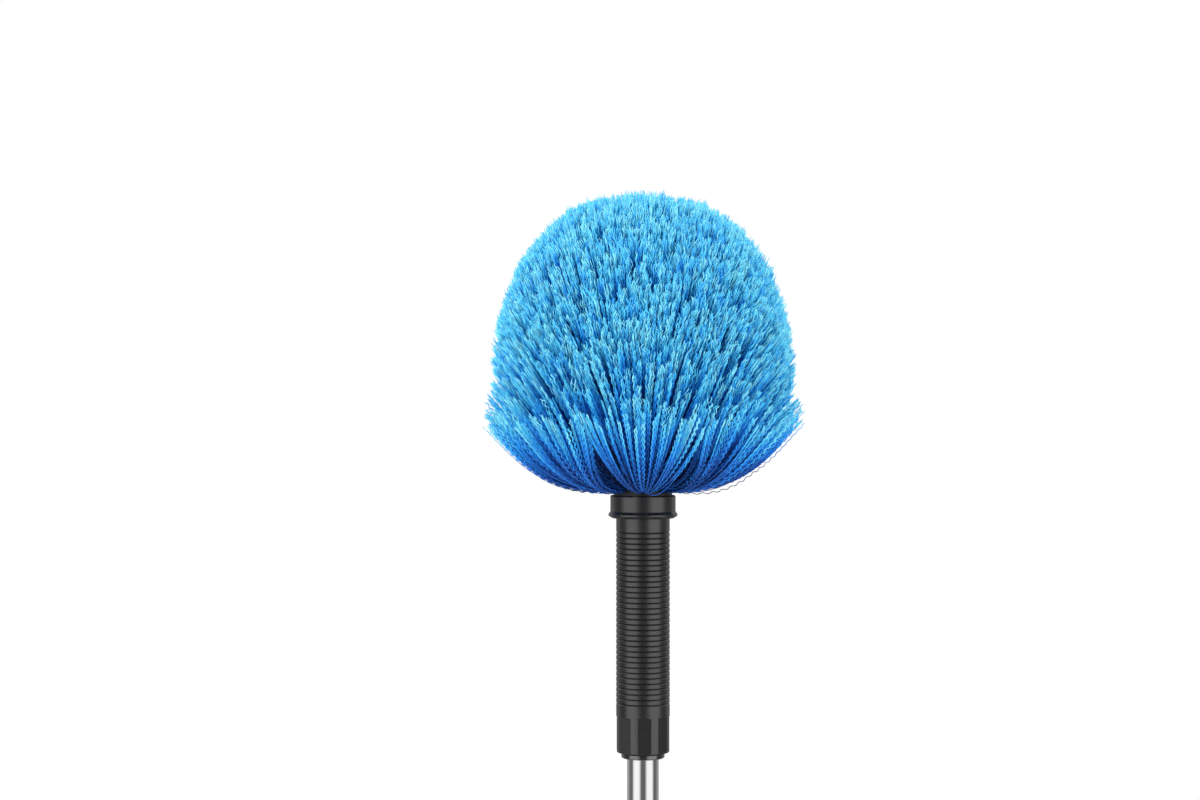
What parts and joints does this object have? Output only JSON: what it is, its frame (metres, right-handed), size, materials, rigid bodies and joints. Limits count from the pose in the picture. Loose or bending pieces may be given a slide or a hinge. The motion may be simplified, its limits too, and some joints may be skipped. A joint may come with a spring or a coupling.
{
  "type": "domed duster on a telescopic pole",
  "caption": "Long-reach duster: a dome of crimped blue filaments on a ribbed handle that screws onto a telescopic steel pole with twist-lock sections and a hand grip.",
  "frame": {"origin": "on the pole's axis at the lowest point of the end cap, below the grip", "axes": "+Z along the pole from the grip to the brush; +Y along the hanging hole"},
  "size_m": [0.187, 0.187, 1.3207],
  "materials": {
    "filament": "satin",
    "steel_tube": "polished",
    "black_gloss": "gloss",
    "black_satin": "satin",
    "plug_plastic": "satin",
    "ring_plastic": "satin",
    "block_plastic": "satin",
    "rubber": "matte",
    "steel_wire": "satin"
  },
  "bodies": {
    "grip_section": {"tube_1": "steel_tube", "collar_1": "black_gloss", "grip_sleeve": "black_gloss", "end_cap": "black_gloss"},
    "lock_ring_2": {"cam_ring_2": "ring_plastic"},
    "section_2": {"tube_2": "steel_tube", "cam_plug_2": "plug_plastic", "collar_2": "black_gloss"},
    "lock_ring_3": {"cam_ring_3": "ring_plastic"},
    "section_3": {"tube_3": "steel_tube", "cam_plug_3": "plug_plastic", "collar_3": "black_gloss"},
    "lock_ring_4": {"cam_ring_4": "ring_plastic"},
    "section_4": {"tube_4": "steel_tube", "cam_plug_4": "plug_plastic", "collar_4": "black_gloss"},
    "lock_ring_5": {"cam_ring_5": "ring_plastic"},
    "section_5": {"tube_5": "steel_tube", "cam_plug_5": "plug_plastic", "collar_5": "black_gloss"},
    "lock_ring_6": {"cam_ring_6": "ring_plastic"},
    "section_6": {"tube_6": "steel_tube", "cam_plug_6": "plug_plastic", "threaded_tip": "black_gloss"},
    "socket_washer": {"seat_washer": "rubber"},
    "head": {"head_handle": "black_satin", "brush_cup": "black_satin", "brush_block": "block_plastic", "tuft_staples": "steel_wire", "bristles_outer": "filament", "bristles_middle": "filament", "bristles_inner": "filament", "bristles_crown": "filament"}
  },
  "joints": [
    {"name": "section_2_slide", "type": "slide", "parent": "grip_section", "child": "lock_ring_2", "axis": [0, 0, 1], "range_m": [-0.051, 0.325]},
    {"name": "section_2_twist", "type": "hinge", "parent": "lock_ring_2", "child": "section_2", "pos_m": [0.00012, 0, 0.5], "axis": [0, 0, 1], "range_deg": [0, 90]},
    {"name": "section_3_slide", "type": "slide", "parent": "section_2", "child": "lock_ring_3", "axis": [0, 0, 1], "range_m": [-0.051, 0.325]},
    {"name": "section_3_twist", "type": "hinge", "parent": "lock_ring_3", "child": "section_3", "pos_m": [0.00012, 0, 0.5], "axis": [0, 0, 1], "range_deg": [0, 90]},
    {"name": "section_4_slide", "type": "slide", "parent": "section_3", "child": "lock_ring_4", "axis": [0, 0, 1], "range_m": [-0.051, 0.325]},
    {"name": "section_4_twist", "type": "hinge", "parent": "lock_ring_4", "child": "section_4", "pos_m": [0.00012, 0, 0.5], "axis": [0, 0, 1], "range_deg": [0, 90]},
    {"name": "section_5_slide", "type": "slide", "parent": "section_4", "child": "lock_ring_5", "axis": [0, 0, 1], "range_m": [-0.051, 0.325]},
    {"name": "section_5_twist", "type": "hinge", "parent": "lock_ring_5", "child": "section_5", "pos_m": [0.00012, 0, 0.5], "axis": [0, 0, 1], "range_deg": [0, 90]},
    {"name": "section_6_slide", "type": "slide", "parent": "section_5", "child": "lock_ring_6", "axis": [0, 0, 1], "range_m": [-0.051, 0.325]},
    {"name": "section_6_twist", "type": "hinge", "parent": "lock_ring_6", "child": "section_6", "pos_m": [0.00012, 0, 0.5], "axis": [0, 0, 1], "range_deg": [0, 90]},
    {"name": "head_lift", "type": "slide", "parent": "section_6", "child": "socket_washer", "axis": [0, 0, 1], "range_m": [0, 0.0255]},
    {"name": "head_unscrew", "type": "hinge", "parent": "socket_washer", "child": "head", "pos_m": [0, 0, 1], "axis": [0, 0, 1], "range_deg": [0, 1800]}
  ],
  "couplings": [
    {"joint": "head_lift", "follows": "head_unscrew", "m_per_rad": 0.00079577}
  ]
}
